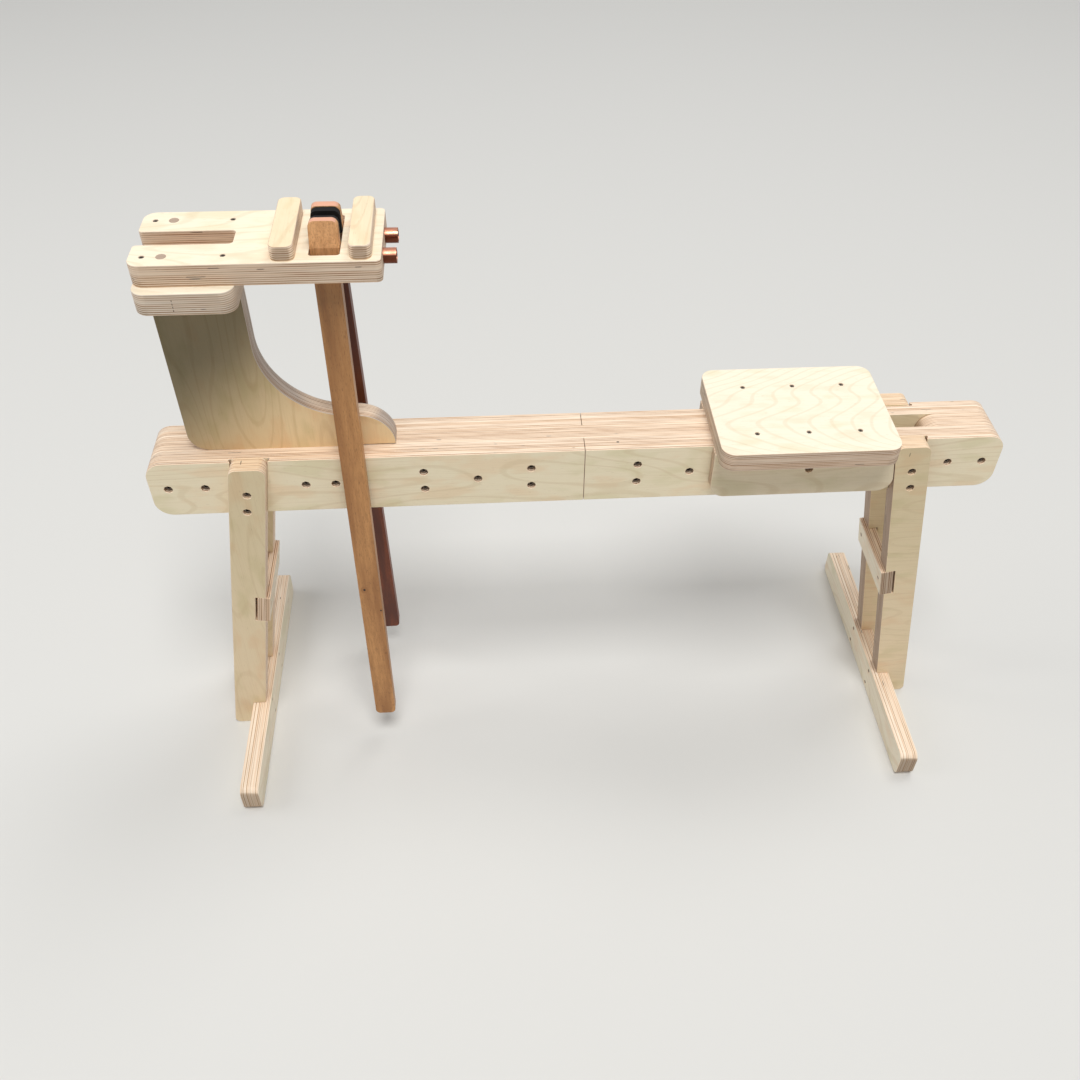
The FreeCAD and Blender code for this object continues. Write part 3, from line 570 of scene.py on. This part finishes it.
# Each board has its face grain, the tones of its veneer, of its plies that face across the grain and of
# those that face along it, and its flaws.
head_boards = (
    ("head_rest_plate", X, "#FFFFFF", "#E4E8EC", "#E4E8EC", crack),
    ("head_plate", X, "#FDFBF8", "#EAE7E5", "#EAE7E5", void),
    ("work_stop_front", Y, "#F6EEDF", "#FFFFFF", "#D4CEC8", ()),
    ("work_stop_rear", Y, "#F8F1E3", "#FFFFFF", "#D4CEC8", ()),
)
for name in ("work_stop_front", "work_stop_rear"):
    low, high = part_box(name)
    corners = [((1000 * x, 1000 * y), 6.0, 9.0, 6.0) for x in (low.x, high.x) for y in (low.y, high.y)]
    round_corners(name, 0, 1, corners)
for name, grain, tone, edge_tone, end_tone, flaws in head_boards:
    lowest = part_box(name)[0].z
    plywood = birch_plywood(
        "birch_plywood_of_" + name, Z, lowest, grain, 15.0, tone, None, edge_tone, end_tone, cracks=flaws
    )
    finish_with(plywood, name)
ease_edges("head_rest_plate", "head_plate")
ease_edges("work_stop_front", "work_stop_rear", width=1.3e-3)
turned_fasteners("head_screws", "root", steel, CROSS_SCREW)
turned_fasteners("head_deep_screws", "root", steel, CROSS_SCREW)


def oiled_beech():
    """Side-grain beech: pinkish brown, with fine even pores."""
    material, tree, shader, place = new_material("oiled_beech")
    grain = stretched_noise(tree, place, grain_scales(X, 60.0, 700.0))
    tree.links.new(blend_colours(tree, grain, "#9A8370", "#BCA693"), shader.inputs["Base Color"])
    shader.inputs["Roughness"].default_value = 0.5
    return material


finish_with(oiled_beech(), "head_plugs")


# Pivot tubes ----------------------------------------------------------------
# Two lengths of plain copper plumbing tube. They are drawn, so their shine runs lengthwise, and
# handling has left them slightly tarnished.

def drawn_copper():
    """Drawn copper: pink metal with long faint scratches and a light tarnish, and a painted dark
    underside.

    The underside is painted reflection of a dark ground. It counts as underneath where the surface's
    direction has less than 0.66 of Z, and fully below 0.42.
    """
    material, tree, shader, place = new_material("drawn_copper")
    scratches = stretched_noise(tree, place, grain_scales(X, 20.0, 1500.0), 3.0)
    tarnish = stretched_noise(tree, place, (60.0, 60.0, 60.0), 3.0, 2.0)
    copper = blend_colours(tree, scratches, "#C47F62", "#E2A68C")
    copper = blend_colours(tree, between(tree, tarnish, 0.45, 0.7, 0.0, 0.35), copper, "#8A4E38")
    normal = tree.nodes["Texture Coordinate"].outputs["Normal"]
    # Painted reflection of a dark ground: the underside is dark brown.
    under = between(tree, add(tree, "SeparateXYZ", {0: normal}).outputs["Z"], 0.42, 0.66, 0.92, 0.0)
    copper = blend_colours(tree, under, copper, "#5E3020")
    tree.links.new(copper, shader.inputs["Base Color"])
    tree.links.new(between(tree, tarnish, 0.3, 0.8, 0.26, 0.5), shader.inputs["Roughness"])
    shader.inputs["Metallic"].default_value = 1.0
    return material


finish_with(drawn_copper(), "pivot_tube_near", "pivot_tube_far")


# Levers and jaw pads --------------------------------------------------------
# Two hardwood levers, oiled. The far one is redder, and darker: partly its own colour and partly painted
# shade. Their jaws carry pads of black rubber sheet.

# Painted shade of the head: the levers are darker below it.
HEAD_SHADE_HEIGHTS = (0.58, 0.83)         # heights between which the wood grows darker
# Painted light: above the head the jaw turns paler.
JAW_LIGHT_HEIGHTS = (0.872, 0.886)        # and between which it turns into the jaw's


def oiled_hardwood(name, pale, dark, pore_colour, shift, knots=()):
    """Oiled straight-grained hardwood: noise stretched along the lever gives its bands and pores.

    Under the head it is darker: painted shade of the head. Above the head the jaw is paler, painted
    light, and so is every face that looks upward, such as the jaw's top. A knot is a dark ellipsoid in
    the middle of a fainter one three times its size.
    """
    material, tree, shader, place = new_material(name)
    bands = stretched_noise(tree, place, grain_scales(Z, 2.5, 55.0), 3.0, shift)
    fibres = stretched_noise(tree, place, grain_scales(Z, 12.0, 650.0), 3.0, shift)
    pores = stretched_noise(tree, place, grain_scales(Z, 45.0, 1500.0), 1.0, shift)
    figure = stretched_noise(tree, place, grain_scales(Z, 26.0, 210.0), 2.0, shift + 3.0)
    wood = blend_colours(tree, between(tree, bands, 0.35, 0.65), dark, pale)
    height = add(tree, "SeparateXYZ", {0: place}).outputs["Z"]
    # Painted shade of the head.
    darker = blend_colours(tree, 1.0, wood, "#DADADA", "MULTIPLY")
    wood = blend_colours(tree, between(tree, height, *HEAD_SHADE_HEIGHTS), wood, darker)
    # Painted light on the jaw, above the head.
    wood = blend_colours(tree, between(tree, height, *JAW_LIGHT_HEIGHTS), wood, "#D9A470")
    wood = blend_colours(tree, between(tree, figure, 0.40, 0.66, 0.0, 0.35), wood, dark)
    wood = blend_colours(tree, between(tree, fibres, 0.45, 0.70, 0.0, 0.45), wood, dark)
    wood = blend_colours(tree, between(tree, pores, 0.60, 0.72, 0.0, 0.55), wood, pore_colour)
    # Painted light: faces that look upward, such as the jaws' tops, are paler.
    normal = tree.nodes["Texture Coordinate"].outputs["Normal"]
    painted_top_light = between(tree, add(tree, "SeparateXYZ", {0: normal}).outputs["Z"], 0.55, 0.80)
    wood = blend_colours(tree, painted_top_light, wood, "#DDA487")
    for centre, size in knots:
        wood = blend_colours(tree, spot(tree, place, centre, [3 * value for value in size]), wood, dark)
        wood = blend_colours(tree, spot(tree, place, centre, size), wood, "#2E1C10")
    tree.links.new(wood, shader.inputs["Base Color"])
    shader.inputs["Roughness"].default_value = 0.48
    relief = add(tree, "Bump", {"Height": fibres, "Strength": 0.15, "Distance": 0.0003})
    tree.links.new(relief.outputs[0], shader.inputs["Normal"])
    return material


def black_rubber():
    """Rubber sheet: matt black with a faint bloom."""
    material, tree, shader, place = new_material("black_rubber_sheet")
    bloom = stretched_noise(tree, place, (120.0, 120.0, 120.0), 3.0)
    tree.links.new(blend_colours(tree, bloom, "#0E0E0E", "#1B1A1A"), shader.inputs["Base Color"])
    shader.inputs["Roughness"].default_value = 0.85
    shader.inputs["Specular IOR Level"].default_value = 0.25
    return material


knots = [
    ((-332.7, -82.2, 339.4), (2.0, 2.0, 2.6)),
    ((-311.9, -85.9, 295.5), (1.5, 2.0, 1.8)),
    ((-312.7, -93.8, 202.2), (1.0, 2.0, 1.0)),
]
finish_with(oiled_hardwood("oiled_oak", "#C68F57", "#A06C3C", "#6A4528", 0.0, knots), "lever_near")
# The far lever's dark colours are partly its own and partly painted shade.
finish_with(oiled_hardwood("oiled_red_oak", "#843E18", "#5B260F", "#361708", 5.0), "lever_far")
ease_edges("lever_near", "lever_far")
finish_with(black_rubber(), "jaw_pad_near", "jaw_pad_far")


# Seat -----------------------------------------------------------------------
# A plywood board with rounded corners on two cheeks that straddle the beam. Six screws hold it, and a
# bolt sunk in the near cheek locks it where the user wants it.

seat_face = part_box("seat_board")[0].z
seat_heart = (0.28, -0.02)
seat_plywood = birch_plywood(
    "birch_plywood_of_the_seat", Z, seat_face, X, 21.0,
    edge_tone="#E4E1E0", end_tone="#DCDFE0", heart=seat_heart,
)
finish_with(seat_plywood, "seat_board")
for side in SIDES:
    cheek_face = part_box("seat_cheek_" + side)[0].y
    cheek_plywood = birch_plywood(f"birch_plywood_of_the_{side}_cheek", Y, cheek_face, X, 24.0, "#EBE5DB")
    finish_with(cheek_plywood, "seat_cheek_" + side)
ease_edges("seat_board", "seat_cheek_near", "seat_cheek_far")
turned_fasteners("seat_screws", "seat", steel, CROSS_SCREW)
turned_fasteners("seat_lock_bolt", "seat", steel, SOCKET_BOLT)


# Room -----------------------------------------------------------------------
# A pale floor, a large soft lamp high up in front, weaker ones behind and at the left, and a camera that
# looks down at the near side.

def floor():
    """Flat square of floor, ten metres across."""
    half = 5.0
    corners = np.array([(-half, -half, 0), (half, -half, 0), (half, half, 0), (-half, half, 0)])
    mesh = bpy.data.meshes.new("floor")
    mesh.from_pydata(corners.tolist(), [], [(0, 1, 2, 3)])
    made = bpy.data.objects.new("floor", mesh)
    bpy.context.scene.collection.objects.link(made)
    material, _, shader, _ = new_material("pale_floor")
    shader.inputs["Base Color"].default_value = linear("#D6D5D1")
    shader.inputs["Roughness"].default_value = 0.9
    mesh.materials.append(material)


def soft_lamp(name, place, target, size, watts):
    """Square area lamp that points at a target."""
    light = bpy.data.lights.new(name, "AREA")
    light.size = size
    light.energy = watts
    lamp = bpy.data.objects.new(name, light)
    lamp.location = place
    direction = np.array(target) - np.array(place)
    flat = math.hypot(direction[0], direction[1])
    tilt = math.pi / 2 + math.atan2(direction[2], flat)
    lamp.rotation_euler = (tilt, 0, math.atan2(-direction[0], direction[1]))
    bpy.context.scene.collection.objects.link(lamp)


floor()
soft_lamp("front_lamp", (0.2, -2.6, 7.9), (0.0, 0.0, 0.5), 2.8, 390.0)
soft_lamp("rear_lamp", (2.2, 2.2, 7.0), (0.0, 0.0, 0.5), 3.0, 140.0)
soft_lamp("left_lamp", (-4.5, 0.3, 3.4), (0.0, 0.0, 0.5), 2.5, 55.0)

world = bpy.data.worlds.new("soft_room")
bpy.context.scene.world = world
world.use_nodes = True
background = world.node_tree.nodes["Background"]
background.inputs["Color"].default_value = linear("#F4F5F7")
# It lights the room at 0.36, and is pale where it is seen, directly or in a shiny surface.
path = add(world.node_tree, "LightPath")
seen = calculate(world.node_tree, "MAXIMUM", path.outputs["Is Camera Ray"], path.outputs["Is Glossy Ray"])
seen = calculate(world.node_tree, "MAXIMUM", seen, path.outputs["Is Transmission Ray"])
brightness = between(world.node_tree, seen, 0.0, 1.0, 0.36, 0.80)
world.node_tree.links.new(brightness, background.inputs["Strength"])

# The camera's place is in millimetres and its turns are in radians, from a fit to the object's edges.
camera_place = (-137.88, -1217.87, 1560.69)
camera_yaw, camera_pitch, camera_roll = 0.0870, 0.7687, -0.0221
image_width = 1080.0
focal_pixels = 1087.11
optical_centre = (558.81, 526.36)
sensor_width = 36.0

ahead = np.array([
    math.sin(camera_yaw) * math.cos(camera_pitch),
    math.cos(camera_yaw) * math.cos(camera_pitch),
    -math.sin(camera_pitch),
])
level_right = np.array([math.cos(camera_yaw), -math.sin(camera_yaw), 0.0])
level_down = np.cross(ahead, level_right)
right = math.cos(camera_roll) * level_right + math.sin(camera_roll) * level_down
down = math.cos(camera_roll) * level_down - math.sin(camera_roll) * level_right

camera = bpy.data.objects.new("camera", bpy.data.cameras.new("camera"))
camera.data.sensor_width = sensor_width
camera.data.lens = sensor_width * focal_pixels / image_width
camera.data.shift_x = (image_width / 2 - optical_centre[0]) / image_width
camera.data.shift_y = (optical_centre[1] - image_width / 2) / image_width
turn = np.eye(4)
turn[:3, 0] = right
turn[:3, 1] = -down
turn[:3, 2] = -ahead
turn[:3, 3] = np.array(camera_place) / 1000
camera.matrix_world = Matrix(turn.tolist())
bpy.context.scene.collection.objects.link(camera)
bpy.context.scene.camera = camera
bpy.context.scene.view_settings.view_transform = "Standard"
